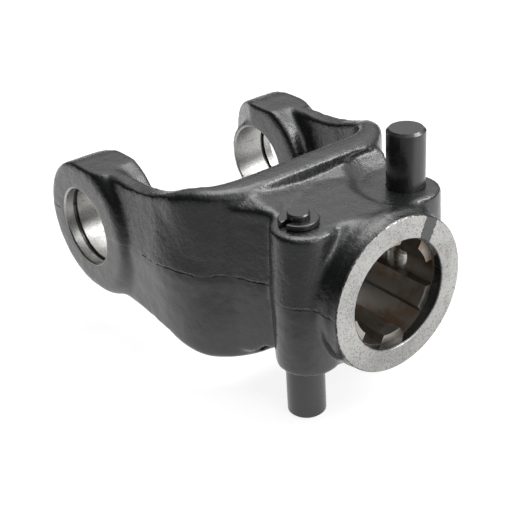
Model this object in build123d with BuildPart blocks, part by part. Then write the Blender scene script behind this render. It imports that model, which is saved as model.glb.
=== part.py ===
"""Quick-release yoke of a driveline: a forged fork and splined hub with two push pins.

Millimetres. The origin is where the axis of the ear bores meets the axis of the splined bore.
+X runs along the splined bore to the hub's open face, +Y along the ear bores, and +Z along the
push pins, square to the parting plane of the forging, which is Z = 0.
"""
import os
from math import radians, sqrt, tan

from build123d import *

os.makedirs("parts", exist_ok=True)

# Joint cross that the ears carry: cup diameter, and width over the cups between the snap rings
cup_diameter = 27.0
cup_span = 81.8
snap_groove_width = 1.7
snap_groove_depth = 0.9
ear_bore_chamfer = 0.6

# Ears
ear_radius = 22.8
ear_lip = 3.4
ear_thickness = 18.3
ear_pad_height = 1.8
ear_seat_radius = 25.0
ear_face_radius = 21.4
ear_flare = 5.0
tip_relief_angle = 22.0
tip_relief_start = 0.5
overlap = 4.0

# Fork, seen from above at the parting plane
draft = 5.0
arm_thickness = 10.2
web_outer_x = 70.0
web_thickness = 15.0
outer_corner_radius = 30.0
inner_corner_radius = 12.5
web_half_height = 30.0
arm_rise_start = 24.0
arm_rise_end = 58.0
arm_rise_round = 55.0
lip_round = 2.0

# Hub
face_x = 105.5
collar_radius = 25.2
collar_length = 2.8
collar_chamfer = 0.4
collar_root = 1.2
barrel_radius = 25.8
plateau_z = 24.8
flange_length = 8.0
flange_slope = 3.0
flange_round = 3.0
neck_half_width = 15.5
neck_round = 5.0
rim_round = 1.5
saddle_round = 3.5
web_fillet = 4.5
boss_excess = 8.0

# Splined bore: six spaces for the splines of a shaft of 34.9 mm
spline_count = 6
spline_major_diameter = 34.9
spline_minor_diameter = 29.7
spline_space_width = 8.69
entry_diameter = 35.4
entry_depth = 3.4
entry_chamfer = 0.4

# Push pins, which cross the groove of the shaft beside the bore
pin_diameter = 12.2
pin_offset = 21.4
pin_from_face = 19.5
pin_clearance = 0.15
pin_travel = 10.0
pin_head_reach = 41.3
pin_head_chamfer = 0.8
shaft_clearance = 0.3
lock_length = 6.0
stem_diameter = 6.8
stem_reach = 28.4
stem_chamfer = 0.4
boss_radius = 9.6
boss_draft = 1.7
head_seat_z = 22.3
head_seat_diameter = 35.0
end_wall = 4.0

# Retaining rings
ring_thickness = 1.8
ring_outer_diameter = 12.2
ring_groove_diameter = 5.0
ring_gap = 2.0
ring_play = 0.05
ring_edge_round = 0.5

# Springs
spring_wire = 1.1
spring_mean_diameter = 9.4
spring_turns = 4.5
spring_seat_gap = 0.1

pin_x = face_x - pin_from_face
ear_outer_y = cup_span / 2 + snap_groove_width + ear_lip
ear_inner_y = ear_outer_y - ear_thickness
arm_outer_y = ear_outer_y - ear_pad_height
arm_inner_y = arm_outer_y - arm_thickness
web_inner_x = web_outer_x - web_thickness
plateau_end_x = face_x - flange_length
plan_end_x = -ear_radius - overlap
hub_root_x = web_inner_x + overlap
side_reach = ear_outer_y + overlap
pin_radius = pin_diameter / 2
notch_radius = spline_major_diameter / 2 + shaft_clearance
notch_half = sqrt(notch_radius**2 - (pin_offset - pin_radius) ** 2)
lock_top = notch_half - pin_travel + lock_length
ring_floor_z = plateau_z
ring_roof_z = plateau_z + ring_thickness + 2 * ring_play
chamber_end_z = plateau_z - end_wall
spring_length = chamber_end_z - lock_top - 2 * spring_seat_gap - spring_wire
tip_relief_depth = (ear_radius + overlap - tip_relief_start) * tan(radians(tip_relief_angle))
web_face_x = web_outer_x - (plateau_z + web_fillet) * tan(radians(draft))


def fork_plan(height):
    """The U of the fork at a height above the parting plane, drawn in by the draft."""
    inset = height * tan(radians(draft))
    outer_x, outer_y = web_outer_x - inset, arm_outer_y - inset
    inner_x, inner_y = web_inner_x + inset, arm_inner_y + inset
    with BuildSketch(Plane.XY.offset(height)) as plan:
        with BuildLine():
            outside = FilletPolyline(
                (plan_end_x, outer_y),
                (outer_x, outer_y),
                (outer_x, -outer_y),
                (plan_end_x, -outer_y),
                radius=outer_corner_radius - inset,
            )
            inside = FilletPolyline(
                (plan_end_x, inner_y),
                (inner_x, inner_y),
                (inner_x, -inner_y),
                (plan_end_x, -inner_y),
                radius=inner_corner_radius + inset,
            )
            Line(outside @ 0, inside @ 0)
            Line(outside @ 1, inside @ 1)
        make_face()
    return plan.sketch


def boss_plan(height):
    """The two pin bosses and the neck behind them at a height above the parting plane."""
    inset = height * tan(radians(boss_draft))
    left_x = pin_x - boss_radius + inset
    with BuildSketch(Plane.XY.offset(height)) as plan:
        with Locations((pin_x, 0)):
            SlotCenterToCenter(2 * pin_offset, 2 * (boss_radius - inset), rotation=90)
        with Locations(((pin_x + hub_root_x) / 2, 0)):
            Rectangle(pin_x - hub_root_x, 2 * (neck_half_width - inset))
        corners = plan.vertices().filter_by(lambda v: abs(v.X - left_x) < 0.01)
        fillet(corners.sort_by(lambda v: abs(v.Y))[0:2], radius=neck_round)
    return plan.sketch


# Side view of the fork: round ear tips, and arms that rise to the deeper web
with BuildPart() as fork_envelope:
    with BuildSketch(Plane.XZ):
        with BuildLine():
            over = FilletPolyline(
                (0, ear_radius),
                (arm_rise_start, ear_radius),
                (arm_rise_end, web_half_height),
                (web_outer_x + overlap, web_half_height),
                radius=arm_rise_round,
            )
            under = FilletPolyline(
                (0, -ear_radius),
                (arm_rise_start, -ear_radius),
                (arm_rise_end, -web_half_height),
                (web_outer_x + overlap, -web_half_height),
                radius=arm_rise_round,
            )
            ThreePointArc(over @ 0, (-ear_radius, 0), under @ 0)
            Line(over @ 1, under @ 1)
        make_face()
    extrude(amount=side_reach, both=True)

# Side view of the hub: a flat land over the pins that rises to the web and to the flange
with BuildPart() as hub_envelope:
    with BuildSketch(Plane.XZ):
        with BuildLine():
            root = RadiusArc(
                (web_face_x, plateau_z + web_fillet),
                (web_face_x + web_fillet, plateau_z),
                radius=-web_fillet,
            )
            ledge = FilletPolyline(
                root @ 1,
                (plateau_end_x, plateau_z),
                (plateau_end_x + flange_slope, barrel_radius + 1),
                (face_x + 1, barrel_radius + 1),
                radius=flange_round,
            )
            Polyline(
                ledge @ 1,
                (face_x + 1, 0),
                (hub_root_x, 0),
                (hub_root_x, plateau_z + web_fillet),
                root @ 0,
            )
        make_face()
        mirror(about=Plane.XZ)
    extrude(amount=side_reach, both=True)

# The fork: two arms and a web, drafted both ways from the parting plane
with BuildPart() as fork:
    add(fork_plan(0))
    add(fork_plan(web_half_height + overlap))
    loft(ruled=True)
    mirror(about=Plane.XY)
    add(fork_envelope.part, mode=Mode.INTERSECT)
    walls = fork.faces().filter_by(lambda f: abs(f.normal_at().Z) < 0.3)
    tops = fork.faces().filter_by(lambda f: abs(f.normal_at().Z) > 0.5)
    top_edges = tops.edges()
    lips = walls.edges().filter_by(lambda e: e in top_edges and e.center().X > 1)
    fillet(lips, radius=lip_round)

# The ears: a turned face outside, raised by a flare, and a turned seat inside
with BuildPart() as ears:
    with BuildSketch(Plane.XY):
        with BuildLine():
            flare = RadiusArc(
                (ear_face_radius + ear_flare, ear_outer_y - overlap),
                (ear_face_radius, ear_outer_y),
                radius=-ear_flare,
            )
            Polyline(
                flare @ 1,
                (0, ear_outer_y),
                (0, arm_inner_y + overlap),
                (ear_face_radius + ear_flare, arm_inner_y + overlap),
                flare @ 0,
            )
        make_face()
    revolve(axis=Axis.Y)
    with BuildSketch(Plane.XZ.offset(-ear_inner_y)):
        Circle(ear_seat_radius)
    extrude(amount=ear_inner_y - arm_inner_y - overlap)
    mirror(about=Plane.XZ)
    add(fork_envelope.part, mode=Mode.INTERSECT)

# The hub's barrel, turned at its open end
with BuildPart() as barrel:
    with BuildSketch(Plane.XY):
        with BuildLine():
            Polyline(
                (hub_root_x, 0),
                (hub_root_x, barrel_radius),
                (face_x - collar_length - collar_root, barrel_radius),
                (face_x - collar_length, collar_radius),
                (face_x - collar_chamfer, collar_radius),
                (face_x, collar_radius - collar_chamfer),
                (face_x, 0),
                close=True,
            )
        make_face()
    revolve(axis=Axis.X)

# The pin bosses with their neck, made tall and trimmed to the land
with BuildPart() as bosses:
    add(boss_plan(0))
    add(boss_plan(barrel_radius + boss_excess))
    loft(ruled=True)
    mirror(about=Plane.XY)

with BuildPart() as hub:
    add(barrel.part)
    add(bosses.part)
    front = hub.edges().filter_by(lambda e: abs(e.center().X - pin_x - boss_radius) < 2 and e.length > 5)
    fillet(front.filter_by(lambda e: 20 < abs(e.center().Z) < barrel_radius + 1), radius=saddle_round)
    back = hub.edges().filter_by(lambda e: abs(e.center().X - pin_x + boss_radius) < 2 and e.length > 5)
    fillet(back.filter_by(lambda e: 1 < abs(e.center().Z) < barrel_radius + 1), radius=saddle_round)
    add(hub_envelope.part, mode=Mode.INTERSECT)
    lands = hub.faces().filter_by(Plane.XY).filter_by(lambda f: abs(abs(f.center().Z) - plateau_z) < 0.01)
    rim = lands.edges().filter_by(lambda e: e.center().X > web_face_x + web_fillet + 0.05)
    fillet(rim, radius=rim_round)

# The forging, joined and then machined
with BuildPart() as yoke_forging:
    add(fork.part)
    add(ears.part)
    add(hub.part)

    # relief of the ear tips inside, slanting outward toward the tip
    for side in (1, -1):
        with BuildSketch(Plane.XY):
            with BuildLine():
                Polyline(
                    (-tip_relief_start, side * ear_inner_y),
                    (plan_end_x, side * (ear_inner_y + tip_relief_depth)),
                    (plan_end_x, side * (ear_inner_y - 1)),
                    (-tip_relief_start, side * (ear_inner_y - 1)),
                    close=True,
                )
            make_face()
        extrude(amount=ear_seat_radius, both=True, mode=Mode.SUBTRACT)

    # bores for the bearing cups, with the grooves of their snap rings
    with BuildSketch(Plane.XZ):
        Circle(cup_diameter / 2)
    extrude(amount=side_reach, both=True, mode=Mode.SUBTRACT)
    rounds = yoke_forging.edges().filter_by(GeomType.CIRCLE)
    mouths = rounds.filter_by(lambda e: abs(e.radius - cup_diameter / 2) < 0.01)
    chamfer(mouths, length=ear_bore_chamfer)
    for side in (1, -1):
        with BuildSketch(Plane.XZ.offset(-side * cup_span / 2)):
            Circle(cup_diameter / 2 + snap_groove_depth)
        extrude(amount=-side * snap_groove_width, mode=Mode.SUBTRACT)

    # splined bore and its plain entry
    with BuildSketch(Plane.YZ.offset(hub_root_x - overlap - 1)):
        Circle(spline_minor_diameter / 2)
        with PolarLocations(spline_major_diameter / 4, spline_count):
            Rectangle(spline_major_diameter / 2, spline_space_width)
        Circle(spline_major_diameter / 2, mode=Mode.INTERSECT)
    extrude(amount=face_x, mode=Mode.SUBTRACT)
    with BuildSketch(Plane.YZ.offset(face_x)):
        Circle(entry_diameter / 2)
    extrude(amount=-entry_depth, mode=Mode.SUBTRACT)
    rounds = yoke_forging.edges().filter_by(GeomType.CIRCLE)
    entry = rounds.filter_by(lambda e: abs(e.radius - entry_diameter / 2) < 0.01)
    chamfer(entry.sort_by(Axis.X)[-1], length=entry_chamfer)

    # for each pin: the bore from the head's side, the stem's hole, and the spot face of the head
    for side in (1, -1):
        with BuildSketch(Plane.XY.offset(-side * chamber_end_z)):
            with Locations((pin_x, side * pin_offset)):
                Circle(pin_diameter / 2 + pin_clearance)
        extrude(amount=side * 2 * barrel_radius, mode=Mode.SUBTRACT)
        with BuildSketch(Plane.XY):
            with Locations((pin_x, side * pin_offset)):
                Circle(stem_diameter / 2 + pin_clearance)
        extrude(amount=-side * 2 * barrel_radius, mode=Mode.SUBTRACT)
        with BuildSketch(Plane.XY.offset(side * head_seat_z)):
            with Locations((pin_x, side * pin_offset)):
                Circle(head_seat_diameter / 2)
        extrude(amount=side * barrel_radius, mode=Mode.SUBTRACT)

# The near pin on its own axis, head down: stem, locking section, notch for the shaft, head
with BuildPart() as near_pin:
    with BuildSketch(Plane.XZ):
        with BuildLine():
            Polyline(
                (0, -pin_head_reach),
                (pin_radius - pin_head_chamfer, -pin_head_reach),
                (pin_radius, pin_head_chamfer - pin_head_reach),
                (pin_radius, -pin_travel - notch_half),
            )
            ThreePointArc(
                (pin_radius, -pin_travel - notch_half),
                (pin_offset - notch_radius, -pin_travel),
                (pin_radius, notch_half - pin_travel),
            )
            Polyline(
                (pin_radius, notch_half - pin_travel),
                (pin_radius, lock_top),
                (stem_diameter / 2, lock_top),
                (stem_diameter / 2, ring_floor_z),
                (ring_groove_diameter / 2, ring_floor_z),
                (ring_groove_diameter / 2, ring_roof_z),
                (stem_diameter / 2, ring_roof_z),
                (stem_diameter / 2, stem_reach - stem_chamfer),
                (stem_diameter / 2 - stem_chamfer, stem_reach),
                (0, stem_reach),
                (0, -pin_head_reach),
            )
        make_face()
    revolve(axis=Axis.Z)

# Its retaining ring, open toward the near side, with rounded ends
with BuildPart() as near_ring:
    with BuildSketch(Plane.XY.offset(ring_floor_z + ring_play)):
        Circle(ring_outer_diameter / 2)
        Circle(ring_groove_diameter / 2 + ring_play, mode=Mode.SUBTRACT)
        with Locations((0, -ring_outer_diameter / 2)):
            Rectangle(ring_gap, ring_outer_diameter, mode=Mode.SUBTRACT)
    extrude(amount=ring_thickness)
    ends = near_ring.edges().filter_by(Axis.Z)
    fillet(ends, radius=ring_edge_round)
    faces = near_ring.faces().filter_by(Axis.Z)
    fillet(faces.edges(), radius=ring_edge_round)

# Its spring, round the stem between the locking section and the wall at the bore's end
with BuildPart() as near_spring:
    with BuildLine():
        coil = Helix(
            pitch=spring_length / spring_turns,
            height=spring_length,
            radius=spring_mean_diameter / 2,
            center=(0, 0, lock_top + spring_seat_gap + spring_wire / 2),
        )
    with BuildSketch(Plane(origin=coil @ 0, z_dir=coil % 0)):
        Circle(spring_wire / 2)
    sweep()

# The near set stands beside the bore; the far set is the same, turned over about the bore's axis
with BuildPart() as push_pin_a:
    with Locations((pin_x, -pin_offset, 0)):
        add(near_pin.part)

with BuildPart() as push_pin_b:
    with Locations((pin_x, pin_offset, 0)):
        add(near_pin.part, rotation=(180, 0, 0))

with BuildPart() as retaining_ring_a:
    with Locations((pin_x, -pin_offset, 0)):
        add(near_ring.part)

with BuildPart() as retaining_ring_b:
    with Locations((pin_x, pin_offset, 0)):
        add(near_ring.part, rotation=(180, 0, 0))

with BuildPart() as pin_spring_a:
    with Locations((pin_x, -pin_offset, 0)):
        add(near_spring.part)

with BuildPart() as pin_spring_b:
    with Locations((pin_x, pin_offset, 0)):
        add(near_spring.part, rotation=(180, 0, 0))

yoke_forging.part.label = "yoke_forging"
push_pin_a.part.label = "push_pin_a"
push_pin_b.part.label = "push_pin_b"
retaining_ring_a.part.label = "retaining_ring_a"
retaining_ring_b.part.label = "retaining_ring_b"
pin_spring_a.part.label = "pin_spring_a"
pin_spring_b.part.label = "pin_spring_b"

export_step(yoke_forging.part, "parts/yoke_forging.step")
export_step(push_pin_a.part, "parts/push_pin_a.step")
export_step(push_pin_b.part, "parts/push_pin_b.step")
export_step(retaining_ring_a.part, "parts/retaining_ring_a.step")
export_step(retaining_ring_b.part, "parts/retaining_ring_b.step")
export_step(pin_spring_a.part, "parts/pin_spring_a.step")
export_step(pin_spring_b.part, "parts/pin_spring_b.step")
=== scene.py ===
"""A forged quick-release yoke, dressed for its picture. Metres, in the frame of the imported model:
+X runs out of the splined hub, +Y across the ear bores, and +Z up along the push pins."""
import math

import bmesh
import bpy
from mathutils import Matrix, Vector


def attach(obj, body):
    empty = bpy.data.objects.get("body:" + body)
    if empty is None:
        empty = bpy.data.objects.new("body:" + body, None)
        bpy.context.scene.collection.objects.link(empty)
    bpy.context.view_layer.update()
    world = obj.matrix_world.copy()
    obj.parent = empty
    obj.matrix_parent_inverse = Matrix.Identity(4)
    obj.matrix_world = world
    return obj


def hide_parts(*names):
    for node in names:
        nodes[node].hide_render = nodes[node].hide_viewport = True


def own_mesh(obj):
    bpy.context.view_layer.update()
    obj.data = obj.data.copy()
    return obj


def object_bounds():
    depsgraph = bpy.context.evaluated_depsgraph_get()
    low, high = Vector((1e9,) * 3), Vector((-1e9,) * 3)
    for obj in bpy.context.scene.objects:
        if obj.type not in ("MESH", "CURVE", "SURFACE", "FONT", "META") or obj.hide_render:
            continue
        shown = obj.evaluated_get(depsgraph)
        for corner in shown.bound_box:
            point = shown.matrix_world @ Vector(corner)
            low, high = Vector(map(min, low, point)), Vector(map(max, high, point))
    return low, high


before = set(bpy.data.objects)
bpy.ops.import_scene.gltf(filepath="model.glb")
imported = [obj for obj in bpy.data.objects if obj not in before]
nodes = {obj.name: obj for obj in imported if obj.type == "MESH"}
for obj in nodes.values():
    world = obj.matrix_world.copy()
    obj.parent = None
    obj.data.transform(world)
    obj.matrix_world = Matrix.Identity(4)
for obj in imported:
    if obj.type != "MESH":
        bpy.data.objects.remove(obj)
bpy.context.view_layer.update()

# The yoke: one steel drop forging, painted black, then bored, faced and splined to bare metal. Its
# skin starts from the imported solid, takes on the wide neck, the ramps and the dies' soft edges, and
# is cut sharp where the real one is machined. Sizes are in millimetres.

MM = 0.001
LAND_Z = 24.8
PIN_X, PIN_Y = 86.0, 21.4
SIDE_DRAFT = math.tan(math.radians(5))
BOSS_DRAFT = math.tan(math.radians(1.7))
SKIN_CELL = 0.78


def new_object(name, points, faces):
    """A mesh object from points in millimetres."""
    mesh = bpy.data.meshes.new(name)
    mesh.from_pydata([(x * MM, y * MM, z * MM) for x, y, z in points], [], faces)
    made = bpy.data.objects.new(name, mesh)
    bpy.context.scene.collection.objects.link(made)
    return made


def outward(made):
    """Turns every face of a closed mesh outward."""
    work = bmesh.new()
    work.from_mesh(made.data)
    bmesh.ops.recalc_face_normals(work, faces=work.faces)
    if work.calc_volume(signed=True) < 0:
        bmesh.ops.reverse_faces(work, faces=work.faces)
    work.to_mesh(made.data)
    work.free()


def skinned(name, rings):
    """A closed solid through rings of equally many points, one after the other, with flat ends."""
    count = len(rings[0])
    points = [point for ring in rings for point in ring]
    faces = []
    for level in range(len(rings) - 1):
        for i in range(count):
            j = (i + 1) % count
            low, high = level * count, (level + 1) * count
            faces.append((low + i, low + j, high + j, high + i))
    last = (len(rings) - 1) * count
    faces.append(tuple(range(count))[::-1])
    faces.append(tuple(last + i for i in range(count)))
    made = new_object(name, points, faces)
    outward(made)
    return made


def turned(name, axis, profile, middle=(0, 0), steps=96):
    """A solid turned about an axis: profile lists (place along the axis, radius)."""
    rings = []
    for along, radius in profile:
        ring = []
        for i in range(steps):
            turn = 2 * math.pi * i / steps
            a, b = middle[0] + radius * math.cos(turn), middle[1] + radius * math.sin(turn)
            ring.append({"X": (along, a, b), "Y": (a, along, b), "Z": (a, b, along)}[axis])
        rings.append(ring)
    return skinned(name, rings)


def gathered(name, parts):
    """One object that holds the meshes of several, which may run into each other."""
    work = bmesh.new()
    for part in parts:
        work.from_mesh(part.data)
    mesh = bpy.data.meshes.new(name)
    work.to_mesh(mesh)
    work.free()
    for part in parts:
        bpy.data.objects.remove(part)
    made = bpy.data.objects.new(name, mesh)
    bpy.context.scene.collection.objects.link(made)
    return made


def settle(made):
    """Bakes an object's modifiers into its mesh."""
    bpy.context.view_layer.update()
    shape = made.evaluated_get(bpy.context.evaluated_depsgraph_get())
    mesh = bpy.data.meshes.new_from_object(shape)
    made.modifiers.clear()
    made.data = mesh


def reskin(made, soft_passes=0):
    """Draws one closed skin round all that an object holds, and softens it by so many passes."""
    step = made.modifiers.new("skin", "REMESH")
    step.mode, step.voxel_size = "VOXEL", SKIN_CELL * MM
    if soft_passes:
        step = made.modifiers.new("soften", "SMOOTH")
        step.factor, step.iterations = 0.5, soft_passes
    settle(made)


def cut(made, tool):
    """Cuts a closed tool out of a closed object."""
    step = made.modifiers.new("cut", "BOOLEAN")
    step.operation, step.object, step.solver = "DIFFERENCE", tool, "EXACT"
    settle(made)
    bpy.data.objects.remove(tool)


# a pin's boss, which narrows up and down from the seam of the dies
BOSS_X, BOSS_Y, BOSS_RADIUS = 87.4, 21.0, 10.6


def boss(side):
    """The boss of one pin."""
    end_radius = BOSS_RADIUS - LAND_Z * BOSS_DRAFT
    profile = [(-LAND_Z, end_radius), (0, BOSS_RADIUS), (LAND_Z, end_radius)]
    return turned("boss", "Z", profile, (BOSS_X, side * BOSS_Y), 48)


# the outer corner from an arm to the web, with a drafted face and round rims
EAR_X, EAR_Z, WEB_Z = 24, 22.7, 29.7
ARM_RISE, ARM_LENGTH = 7.2, 34
CORNER_X, CORNER_Y, CORNER_RADIUS = 45, 19.2, 25
CORNER_START_X, CORNER_CORE_RADIUS, CREST_REACH = 36, 17, 22
RIM_ROUND = 2.6


def crest(x):
    """How high the arms and the web stand at x: they rise from the ears to the web."""
    return min(WEB_Z, EAR_Z + ARM_RISE * (x - EAR_X) / ARM_LENGTH)


def corner(side):
    """The outer corner of one arm."""
    rings = []
    for x, turn in [(CORNER_START_X, 90)] + [(CORNER_X, 90 - 90 * step / 16) for step in range(17)]:
        ahead, beside = math.cos(math.radians(turn)), math.sin(math.radians(turn))
        top = crest(x + CREST_REACH * ahead)
        rim = []
        for tilt in (0, 30, 60, 90):
            rise = RIM_ROUND * math.sin(math.radians(tilt))
            back = RIM_ROUND * math.cos(math.radians(tilt)) - RIM_ROUND
            rim.append((top - RIM_ROUND + rise, back))
        ring = []
        for z, back in [(-z, back) for z, back in rim[::-1]] + rim:
            reach = CORNER_RADIUS + back - abs(z) * SIDE_DRAFT
            ring.append((x + reach * ahead, side * (CORNER_Y + reach * beside), z))
        core_x = x + CORNER_CORE_RADIUS * ahead
        core_y = side * (CORNER_Y + CORNER_CORE_RADIUS * beside)
        ring += [(core_x, core_y, top), (core_x, core_y, -top)]
        rings.append(ring)
    return skinned("corner", rings)


# the neck, which widens from the middles of the bosses back to the web
NECK_HALF_WIDTH, NECK_SPREAD, NECK_BACK_X = 20.2, 0.503, 60


def neck_edge(x):
    """Half the neck's width at x: it widens from the bosses back to the web."""
    return NECK_HALF_WIDTH + (BOSS_X - x) * NECK_SPREAD


def neck():
    """The neck, drafted up and down from the seam of the dies."""
    rings = []
    for z in (-LAND_Z, 0, LAND_Z):
        inset = abs(z) * BOSS_DRAFT
        front, back = neck_edge(BOSS_X) - inset, neck_edge(NECK_BACK_X) - inset
        front_edge = [(BOSS_X, -front, z), (BOSS_X, front, z)]
        rings.append(front_edge + [(NECK_BACK_X, back, z), (NECK_BACK_X, -back, z)])
    return skinned("neck", rings)


# the ramp from the flat land up to the web's lip: its bowed foot, and its head round the lip
RAMP_ROOT_X, RAMP_ROOT_Z, RAMP_LIFT = 61, 23, 0.1
FOOT_X, FOOT_SWEEP, FOOT_ROUND = 69.6, 0.34, 2
FOOT_BOW, FOOT_BOW_START = 0.0122, 10
NECK_RIM_INSET, FOOT_OVERLAP = 0.74, 0.6
HEAD_X, HEAD_RADIUS = 45.2, 22.4
BROW_PLACE, BROW_STEEPNESS, HEAD_STEEPNESS = 0.8, 0.13, 0.27
RAMP_EDGE_Y, RAMP_ROWS, ROW_STEP, SHORTEST_RUN = 31, 32, 2, 0.3
CLEAR_X, CLEAR_Z, CLEAR_LEAN = 96, 32, 0.3


def ramp_foot(y):
    """How far out the ramp's foot lies at y, where it meets the land or the neck's rim."""
    swept = FOOT_X + FOOT_SWEEP * (math.hypot(y, FOOT_ROUND) - FOOT_ROUND)
    bowed = swept + FOOT_BOW * max(0, abs(y) - FOOT_BOW_START) ** 2
    rim = BOSS_X + FOOT_OVERLAP - (abs(y) + NECK_RIM_INSET - NECK_HALF_WIDTH) / NECK_SPREAD
    return min(bowed, rim)


def ramp_head(y):
    """How far out the ramp's steep head lies at y, along the web's outer lip."""
    return HEAD_X + math.sqrt(HEAD_RADIUS ** 2 - max(0, abs(y) - CORNER_Y) ** 2)


def ramp_and_clearance(side):
    """The ramp on top (side 1) or below, and the tool that clears the room over it."""
    ramp_rings, clear_rings = [], []
    for step in range(RAMP_ROWS):
        y = -RAMP_EDGE_Y + ROW_STEP * step
        head = ramp_head(y)
        run = max(SHORTEST_RUN, ramp_foot(y) - head)
        foot, brow = head + run, head + run * BROW_PLACE
        low = side * (LAND_Z + RAMP_LIFT)
        middle = side * (LAND_Z + RAMP_LIFT + BROW_STEEPNESS * run)
        high = side * (LAND_Z + RAMP_LIFT + HEAD_STEEPNESS * run)
        ramp_rings.append([
            (RAMP_ROOT_X, y, side * RAMP_ROOT_Z), (foot, y, side * RAMP_ROOT_Z),
            (foot, y, low), (brow, y, middle), (head, y, high), (RAMP_ROOT_X, y, high),
        ])
        clear_rings.append([
            (head, y, high), (head - CLEAR_LEAN, y, side * CLEAR_Z), (CLEAR_X, y, side * CLEAR_Z),
            (CLEAR_X, y, low), (foot, y, low), (brow, y, middle),
        ])
    return skinned("ramp", ramp_rings), skinned("clearance", clear_rings)


# the forging before it is machined: every bore is plugged, and cut again later
blank = bpy.data.objects.new("forged_yoke", nodes["yoke_forging"].data.copy())
bpy.context.scene.collection.objects.link(blank)
blank.data.materials.clear()
parts, clearances = [blank], []
for side in (1, -1):
    parts.append(boss(side))
    parts.append(turned("ear_plug", "Y", [(side * 28.5, 15.5), (side * 45.8, 15.5)]))
    parts.append(corner(side))
    ramp_part, clearance = ramp_and_clearance(side)
    parts.append(ramp_part)
    clearances.append(clearance)
parts.append(neck())
parts.append(turned("hub_plug", "X", [(56.5, 19), (100, 19), (100, 25.4), (107, 25.4)]))
for side in (1, -1):
    pin_plug = [(side * -23.5, 7.6), (side * 22.0, 7.6)]
    parts.append(turned("pin_plug", "Z", pin_plug, (PIN_X, side * PIN_Y), 32))
forging = gathered("forged_yoke", parts)
reskin(forging)

# the ears' inner seats with a wide flare into the arms, the shallow dish round each pin's head,
# and the long trough along the top and bottom of each arm; each row is (place, radius)
SEAT = [
    (28.3, 0.01), (28.3, 22.4), (28.9, 24.6), (30.2, 27),
    (31.8, 29.2), (34.2, 31.6), (34.2, 40), (20, 40),
]
DISH = [(22.3, 0.01), (22.3, 14.5), (27.3, 21.5), (29, 0.01)]
TROUGH = [(26, 61), (50, 61)]
TROUGH_X, TROUGH_Z = 24.3, 83.6
for side in (1, -1):
    seat = [(side * along, radius) for along, radius in SEAT]
    cut(forging, turned("seat_tool", "Y", seat))
    dish = [(side * along, radius) for along, radius in DISH]
    cut(forging, turned("dish_tool", "Z", dish, (PIN_X, side * PIN_Y), 64))
    trough = [(side * along, radius) for along, radius in TROUGH]
    for up in (1, -1):
        cut(forging, turned("trough_tool", "Y", trough, (TROUGH_X, up * TROUGH_Z), 256))
for clearance in clearances:
    cut(forging, clearance)
reskin(forging, 9)

# the shallow waves and the grain that the dies leave in the skin
for wave_size, wave_depth in ((7, 0.25), (2.2, 0.07)):
    waves = bpy.data.textures.new("die_waves", "CLOUDS")
    waves.noise_scale, waves.noise_depth = wave_size * MM, 2
    step = forging.modifiers.new("waves", "DISPLACE")
    step.texture, step.texture_coords = waves, "LOCAL"
    step.strength, step.mid_level = wave_depth * MM, 0.5
settle(forging)

# the ear bores, chamfered at both ends, with a groove for the snap ring; rows are (place, radius)
EAR_BORE = [
    (20, 22.4), (28.9, 13.5), (40.9, 13.5), (40.9, 14.4),
    (42.6, 14.4), (42.6, 13.5), (45.4, 13.5), (60, 28.1),
]
ear_bores = [(-y, radius) for y, radius in EAR_BORE[::-1]] + EAR_BORE
cut(forging, turned("ear_reamer", "Y", ear_bores))

# the hub's face with its collar, and the plain entry to the bore; rows are (place, radius)
COLLAR = [
    (105.5, 0.01), (105.5, 24.8), (105.1, 25.2), (102.7, 25.2),
    (101.5, 25.8), (101.5, 60), (120, 60), (120, 0.01),
]
ENTRY = [(102.1, 17.7), (105.1, 17.7), (105.5, 18.1), (110, 22.6)]
cut(forging, turned("collar_tool", "X", COLLAR, steps=128))
cut(forging, turned("entry_tool", "X", ENTRY))

# the six splines: spaces at the large radius between narrower teeth at the small one
SPACE_RADIUS, TOOTH_RADIUS = 17.45, 14.85
SPACE_DEGREES = (-14.4, -9, -3, 3, 9, 14.4)
TOOTH_DEGREES = (17.0, 22, 27, 33, 38, 43.0)
outline = []
for space in range(6):
    for radius, offsets in ((SPACE_RADIUS, SPACE_DEGREES), (TOOTH_RADIUS, TOOTH_DEGREES)):
        for offset in offsets:
            turn = math.radians(60 * space + offset)
            outline.append((radius * math.cos(turn), radius * math.sin(turn)))
cut(forging, skinned("spline_broach", [[(x, y, z) for y, z in outline] for x in (50, 110)]))

# the pins' bores: wide for the head and the lock, narrow for the stem
PIN_BORE_RADIUS, STEM_BORE_RADIUS = 6.25, 3.55
for side in (1, -1):
    pin_place = (PIN_X, side * PIN_Y)
    wide = [(side * -20.8, PIN_BORE_RADIUS), (side * 30, PIN_BORE_RADIUS)]
    cut(forging, turned("pin_drill", "Z", wide, pin_place, 64))
    narrow = [(side * -40, STEM_BORE_RADIUS), (0, STEM_BORE_RADIUS)]
    cut(forging, turned("stem_drill", "Z", narrow, pin_place, 32))
forging.data.shade_smooth()
forging.data.set_sharp_from_angle(angle=math.radians(38))
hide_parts("yoke_forging")
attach(forging, "yoke")

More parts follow.
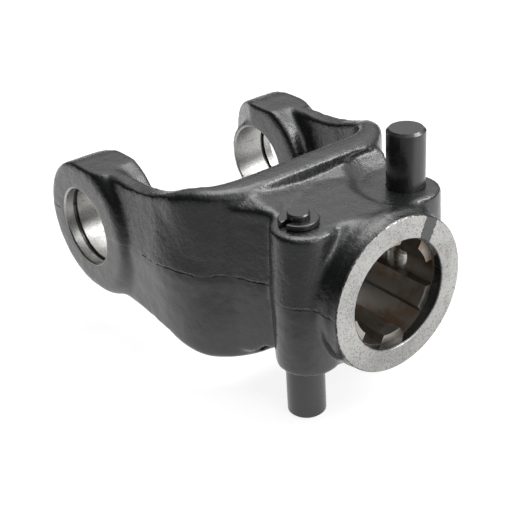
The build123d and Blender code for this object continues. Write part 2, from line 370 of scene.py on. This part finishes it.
# the black paint with the bare and the oiled steel that show beside it
PAINT = (0.0120, 0.0135, 0.0128, 1)
PAINT_WORN = (0.045, 0.045, 0.046, 1)
PAINT_SEAM = (0.004, 0.004, 0.004, 1)
BARE_STEEL = (0.47, 0.465, 0.45, 1)
BARE_STEEL_DARK = (0.20, 0.197, 0.19, 1)
OILED_STEEL = (0.36, 0.345, 0.32, 1)
OILED_STEEL_BROWN = (0.30, 0.22, 0.16, 1)
EAR_BARE_RADIUS = 14.15
BORE_BARE_RADIUS, BORE_BARE_X = 17.62, 54
FACE_BARE_RADIUS, FACE_BARE_X = 24.9, 105.3
FACE_RAGGED, STRIPE_RAGGED = 1.4, 2.2
STRIPE_ACROSS_Y, STRIPE_ACROSS_Z, STRIPE_OFFSET, STRIPE_HALF_WIDTH = 0.908, 0.418, 2.98, 2.5
SEAM_Z, SEAM_WANDER = 1.8, 3.5


def finish_named(name):
    """A new empty material: its node tree and its surface shader."""
    material = bpy.data.materials.new(name)
    material.use_nodes = True
    tree = material.node_tree
    tree.nodes.clear()
    output = tree.nodes.new("ShaderNodeOutputMaterial")
    surface = tree.nodes.new("ShaderNodeBsdfPrincipled")
    tree.links.new(surface.outputs["BSDF"], output.inputs["Surface"])
    return material, tree, surface


def put(tree, value, slot):
    """Sets an input to a value, or wires a socket to it."""
    if isinstance(value, bpy.types.NodeSocket):
        tree.links.new(value, slot)
    else:
        slot.default_value = value


def add_node(tree, kind, settings=None, **wires):
    """A node with its settings and its named inputs."""
    made = tree.nodes.new("ShaderNode" + kind)
    for name, value in (settings or {}).items():
        setattr(made, name, value)
    for name, value in wires.items():
        put(tree, value, made.inputs[name])
    return made


def calc(tree, operation, first, second=0.0):
    """One step of arithmetic between sockets or numbers."""
    made = add_node(tree, "Math", {"operation": operation})
    put(tree, first, made.inputs[0])
    put(tree, second, made.inputs[1])
    return made.outputs[0]


def plus(tree, first, second):
    """The sum of two sockets or numbers."""
    return calc(tree, "ADD", first, second)


def minus(tree, first, second):
    """The first of two sockets or numbers, less the second."""
    return calc(tree, "SUBTRACT", first, second)


def times(tree, first, second):
    """The product of two sockets or numbers."""
    return calc(tree, "MULTIPLY", first, second)


def from_axis(tree, across, up):
    """How far a point lies from an axis, by its two coordinates square to it."""
    return calc(tree, "SQRT", plus(tree, times(tree, across, across), times(tree, up, up)))


def ramp(tree, value, low, high, start=0.0, end=1.0):
    """value carried from low..high to start..end with soft ends."""
    made = add_node(tree, "MapRange", {"interpolation_type": "SMOOTHSTEP"}, Value=value)
    made.inputs["From Min"].default_value = low
    made.inputs["From Max"].default_value = high
    made.inputs["To Min"].default_value = start
    made.inputs["To Max"].default_value = end
    return made.outputs["Result"]


def grain(tree, place, size_mm, detail=4.0, roughness=0.5):
    """Cloudy noise whose lumps are about size_mm across."""
    made = add_node(tree, "TexNoise", Vector=place, Scale=1 / (size_mm * MM), Detail=detail)
    made.inputs["Roughness"].default_value = roughness
    return made.outputs["Fac"]


def blend(tree, share, first, second):
    """Two colours mixed by a share of the second."""
    made = add_node(tree, "Mix", {"data_type": "RGBA"})
    put(tree, share, made.inputs[0])
    put(tree, first, made.inputs[6])
    put(tree, second, made.inputs[7])
    return made.outputs[2]


material, tree, surface = finish_named("black_painted_forging")
place = add_node(tree, "TexCoord").outputs["Object"]
axes = add_node(tree, "SeparateXYZ", Vector=place).outputs
x, y, z = axes[0], axes[1], axes[2]
wander = grain(tree, place, 12, 3, 0.6)
lumps = grain(tree, place, 5, 3, 0.5)
skin = grain(tree, place, 1.3, 4, 0.6)
ragged = minus(tree, grain(tree, place, 1.1, 4, 0.6), 0.5)
fine = grain(tree, place, 0.45, 3, 0.6)

# where the metal is bare: the ear bores, inside the hub, and its face but for a painted stripe
hub_radius = from_axis(tree, y, z)
ear_bare = calc(tree, "LESS_THAN", from_axis(tree, x, z), EAR_BARE_RADIUS * MM)
inside = calc(tree, "LESS_THAN", hub_radius, BORE_BARE_RADIUS * MM)
hub_bare = times(tree, inside, calc(tree, "GREATER_THAN", x, BORE_BARE_X * MM))
across = minus(tree, times(tree, y, STRIPE_ACROSS_Y), times(tree, z, STRIPE_ACROSS_Z))
across = calc(tree, "ABSOLUTE", minus(tree, across, STRIPE_OFFSET * MM))
across = plus(tree, across, times(tree, ragged, STRIPE_RAGGED * MM))
stripe = calc(tree, "LESS_THAN", across, STRIPE_HALF_WIDTH * MM)
stripe = times(tree, stripe, calc(tree, "GREATER_THAN", z, 0.0))
edge = plus(tree, hub_radius, times(tree, ragged, FACE_RAGGED * MM))
face_bare = calc(tree, "LESS_THAN", edge, FACE_BARE_RADIUS * MM)
face_bare = times(tree, calc(tree, "GREATER_THAN", x, FACE_BARE_X * MM), face_bare)
face_bare = times(tree, face_bare, minus(tree, 1.0, stripe))
bare = calc(tree, "MAXIMUM", ear_bare, calc(tree, "MAXIMUM", hub_bare, face_bare))

# the seam of the two dies, a wavering and broken dark line, and the paint's upper part over it
seam = times(tree, minus(tree, wander, 0.5), SEAM_WANDER * MM)
seam = calc(tree, "ABSOLUTE", minus(tree, minus(tree, z, SEAM_Z * MM), seam))
seam = ramp(tree, seam, 0.12 * MM, 0.5 * MM, 1, 0)
seam = times(tree, seam, ramp(tree, grain(tree, place, 6, 3, 0.6), 0.42, 0.6, 0.1, 1.0))
upper = ramp(tree, z, 0.5 * MM, 3.0 * MM)

# the paint with its pale specks, the pitted steel, and the oiled brown steel inside the hub
specks = times(tree, ramp(tree, fine, 0.56, 0.70), plus(tree, times(tree, upper, 0.7), 0.3))
paint = blend(tree, times(tree, specks, 0.35), PAINT, PAINT_WORN)
paint = blend(tree, times(tree, seam, 0.9), paint, PAINT_SEAM)
# the bare face of the hub is made darker towards its bottom
face_darker_below = times(tree, ramp(tree, z, -6 * MM, -20 * MM), face_bare)
pitted = plus(tree, ramp(tree, fine, 0.50, 0.64, 0.0, 0.75), times(tree, face_darker_below, 0.35))
pitted = plus(tree, pitted, ramp(tree, wander, 0.45, 0.7, 0.0, 0.3))
face_steel = blend(tree, calc(tree, "MINIMUM", pitted, 1.0), BARE_STEEL, BARE_STEEL_DARK)
brown = ramp(tree, grain(tree, place, 9, 4, 0.6), 0.45, 0.65)
oiled = blend(tree, brown, OILED_STEEL, OILED_STEEL_BROWN)
deep = times(tree, hub_bare, minus(tree, 1.0, face_bare))
steel = blend(tree, deep, face_steel, oiled)
tree.links.new(blend(tree, bare, paint, steel), surface.inputs["Base Color"])
tree.links.new(bare, surface.inputs["Metallic"])

# the gloss: bright on the paint, a little less so above the seam, and dull on bare steel
surface.inputs["Specular IOR Level"].default_value = 0.9
paint_rough = plus(tree, ramp(tree, skin, 0.3, 0.7, 0.17, 0.28), times(tree, upper, 0.04))
rough = add_node(tree, "Mix", {"data_type": "FLOAT"})
put(tree, bare, rough.inputs[0])
put(tree, paint_rough, rough.inputs[2])
put(tree, ramp(tree, skin, 0.3, 0.7, 0.34, 0.46), rough.inputs[3])
tree.links.new(rough.outputs[0], surface.inputs["Roughness"])

# the fine relief: coarse above the seam, smooth below it, and faint on bare metal
relief = plus(tree, times(tree, skin, 0.15), times(tree, fine, 0.05))
relief = times(tree, relief, plus(tree, times(tree, upper, 0.75), 0.25))
relief = plus(tree, relief, times(tree, lumps, 0.22))
relief = minus(tree, relief, times(tree, seam, 0.25))
relief = times(tree, relief, minus(tree, 1.0, times(tree, bare, 0.85)))
bump = add_node(tree, "Bump", Height=relief, Strength=1.0, Distance=1.0 * MM)
tree.links.new(bump.outputs["Normal"], surface.inputs["Normal"])

forging.data.materials.clear()
forging.data.materials.append(material)

# The push pins: turned steel with a satin black finish, bare and bright where they run in the
# hub. Each slides in its own bore and locks the splined shaft.

PIN_BLACK = (0.010, 0.0105, 0.010, 1)
PIN_BLACK_RUBBED = (0.020, 0.021, 0.020, 1)
PIN_BARE = (0.55, 0.54, 0.52, 1)
PIN_BARE_HALF_LENGTH = 19
material, tree, surface = finish_named("satin_black_pin")
place = add_node(tree, "TexCoord").outputs["Object"]
marks = grain(tree, place, 2.5, 4, 0.6)
paint = blend(tree, ramp(tree, marks, 0.4, 0.7), PIN_BLACK, PIN_BLACK_RUBBED)
height = calc(tree, "ABSOLUTE", add_node(tree, "SeparateXYZ", Vector=place).outputs[2])
waist = calc(tree, "LESS_THAN", height, PIN_BARE_HALF_LENGTH * MM)
tree.links.new(blend(tree, waist, paint, PIN_BARE), surface.inputs["Base Color"])
tree.links.new(waist, surface.inputs["Metallic"])
tree.links.new(ramp(tree, marks, 0.3, 0.7, 0.20, 0.30), surface.inputs["Roughness"])
surface.inputs["Specular IOR Level"].default_value = 0.8
for name in ("push_pin_a", "push_pin_b"):
    nodes[name].data.materials.clear()
    nodes[name].data.materials.append(material)

# The retaining rings: open rings of spring steel with the same black finish as the pins. Each
# snaps into a groove round its pin's stem and keeps the pin from falling out.

for name in ("retaining_ring_a", "retaining_ring_b"):
    nodes[name].data.materials.clear()
    nodes[name].data.materials.append(material)

# The return springs: coils of drawn wire inside the pin bores, out of sight. A pressed pin
# shortens its coil against the wall at the bore's end.

material, tree, surface = finish_named("drawn_spring_wire")
surface.inputs["Base Color"].default_value = (0.35, 0.35, 0.36, 1)
surface.inputs["Metallic"].default_value = 1.0
surface.inputs["Roughness"].default_value = 0.4
for name, joint, side in (("pin_spring_a", "pin_a_push", -1), ("pin_spring_b", "pin_b_push", 1)):
    coil = bpy.data.objects.new(name.replace("pin", "return"), nodes[name].data.copy())
    bpy.context.scene.collection.objects.link(coil)
    coil.data.materials.clear()
    coil.data.materials.append(material)
    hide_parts(name)
    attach(coil, "yoke")
    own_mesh(coil)

# The table: a plain white sheet under the yoke. Reflections find it bright under and behind the
# yoke, and dimmer from the near ear towards the camera.

FLOOR_SIZE = 3.0
low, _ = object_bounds()
half = FLOOR_SIZE / 2
floor_mesh = bpy.data.meshes.new("white_table")
corners = [(-half, -half, low.z), (half, -half, low.z), (half, half, low.z), (-half, half, low.z)]
floor_mesh.from_pydata(corners, [], [(0, 1, 2, 3)])
floor = bpy.data.objects.new("white_table", floor_mesh)
bpy.context.scene.collection.objects.link(floor)
material, tree, surface = finish_named("white_table_top")
surface.inputs["Base Color"].default_value = (0.35, 0.35, 0.35, 1)
surface.inputs["Roughness"].default_value = 0.9
surface.inputs["Emission Color"].default_value = (1, 1, 1, 1)
rays = add_node(tree, "LightPath").outputs
axes = add_node(tree, "SeparateXYZ", Vector=add_node(tree, "TexCoord").outputs["Object"]).outputs
front = times(tree, minus(tree, axes[0], 0.045), 0.45)
front = minus(tree, front, times(tree, axes[1], 0.89))
mirrored = times(tree, rays["Is Glossy Ray"], ramp(tree, front, 0.04, 0.125, 1.0, 0.05))
seen = calc(tree, "MAXIMUM", mirrored, rays["Is Transmission Ray"])
seen = calc(tree, "MAXIMUM", rays["Is Camera Ray"], seen)
tree.links.new(times(tree, seen, 0.85), surface.inputs["Emission Strength"])
floor_mesh.materials.append(material)

# The room: white behind the yoke, and an even soft light all round. Reflections find it bright
# overhead and behind, and dark at the front and along the horizon.

world = bpy.context.scene.world or bpy.data.worlds.new("studio")
bpy.context.scene.world = world
world.use_nodes = True
tree = world.node_tree
tree.nodes.clear()
rays = add_node(tree, "LightPath").outputs
axes = add_node(tree, "SeparateXYZ", Vector=add_node(tree, "TexCoord").outputs["Generated"]).outputs
near = plus(tree, times(tree, axes[0], -0.3), times(tree, axes[1], -0.95))
room = minus(tree, 0.85, times(tree, near, 1.3))
room = calc(tree, "MINIMUM", calc(tree, "MAXIMUM", room, 0.02), 1.0)
room = times(tree, room, ramp(tree, axes[2], 0.12, 0.5, 0.08, 1.0))
mirrored = times(tree, rays["Is Glossy Ray"], room)
even = times(tree, minus(tree, 1.0, rays["Is Glossy Ray"]), 0.30)
seen = calc(tree, "MAXIMUM", rays["Is Camera Ray"], rays["Is Transmission Ray"])
strength = calc(tree, "MAXIMUM", seen, plus(tree, mirrored, even))
background = add_node(tree, "Background", Color=(1, 1, 1, 1), Strength=strength)
output = add_node(tree, "OutputWorld")
tree.links.new(background.outputs[0], output.inputs[0])

# The lamps: a broad soft one overhead, a smaller and brighter one high on the right for the glints
# along the lips, and a weak one in front of the hub's face. All face the yoke's middle.

MIDDLE = (0.045, 0, 0)


def soft_lamp(name, position, width, depth, power):
    """A rectangular soft lamp that faces the yoke's middle."""
    light = bpy.data.lights.new(name, "AREA")
    light.shape = "RECTANGLE"
    light.size, light.size_y = width, depth
    light.energy = power
    lamp = bpy.data.objects.new(name, light)
    bpy.context.scene.collection.objects.link(lamp)
    lamp.location = position
    aim = Vector(MIDDLE) - Vector(position)
    lamp.rotation_euler = aim.to_track_quat("-Z", "Y").to_euler()


soft_lamp("overhead_lamp", (-0.1, 0.2, 0.9), 0.7, 0.7, 5)
soft_lamp("back_lamp", (0.48, 0.46, 0.64), 0.38, 0.38, 4.0)
soft_lamp("side_lamp", (0.9, 0.1, 0.3), 0.4, 0.6, 2.0)

# The camera, where the photograph was taken from: its place, its tilt and its lens were fitted to
# the hub's face, the bore, the pins and the near ear's bore.

PHOTO_SIZE = 510
EYE = Vector((0.3089, -0.19966, 0.1738))
AZIMUTH, ELEVATION, ROLL = math.radians(53.98), math.radians(29.06), math.radians(-3.88)
FOCAL_PX, CENTRE_X, CENTRE_Y = 1118.97, 255.21, 254.26
east, north = math.cos(AZIMUTH), math.sin(AZIMUTH)
flat, steep = math.cos(ELEVATION), math.sin(ELEVATION)
ahead = Vector((-north * flat, east * flat, -steep))
level = Vector((east, north, 0))
upright = Vector((-north * steep, east * steep, flat))
right = level * math.cos(ROLL) + upright * math.sin(ROLL)
up = upright * math.cos(ROLL) - level * math.sin(ROLL)
lens = bpy.data.cameras.new("photo_camera")
lens.sensor_width = 36
lens.lens = FOCAL_PX / PHOTO_SIZE * lens.sensor_width
lens.shift_x = (PHOTO_SIZE / 2 - CENTRE_X) / PHOTO_SIZE
lens.shift_y = (CENTRE_Y - PHOTO_SIZE / 2) / PHOTO_SIZE
lens.clip_start, lens.clip_end = 0.01, 10
camera = bpy.data.objects.new("photo_camera", lens)
bpy.context.scene.collection.objects.link(camera)
turn = Matrix((right, up, -ahead)).transposed().to_4x4()
camera.matrix_world = Matrix.Translation(EYE) @ turn
bpy.context.scene.camera = camera
bpy.context.scene.view_settings.view_transform = "Standard"
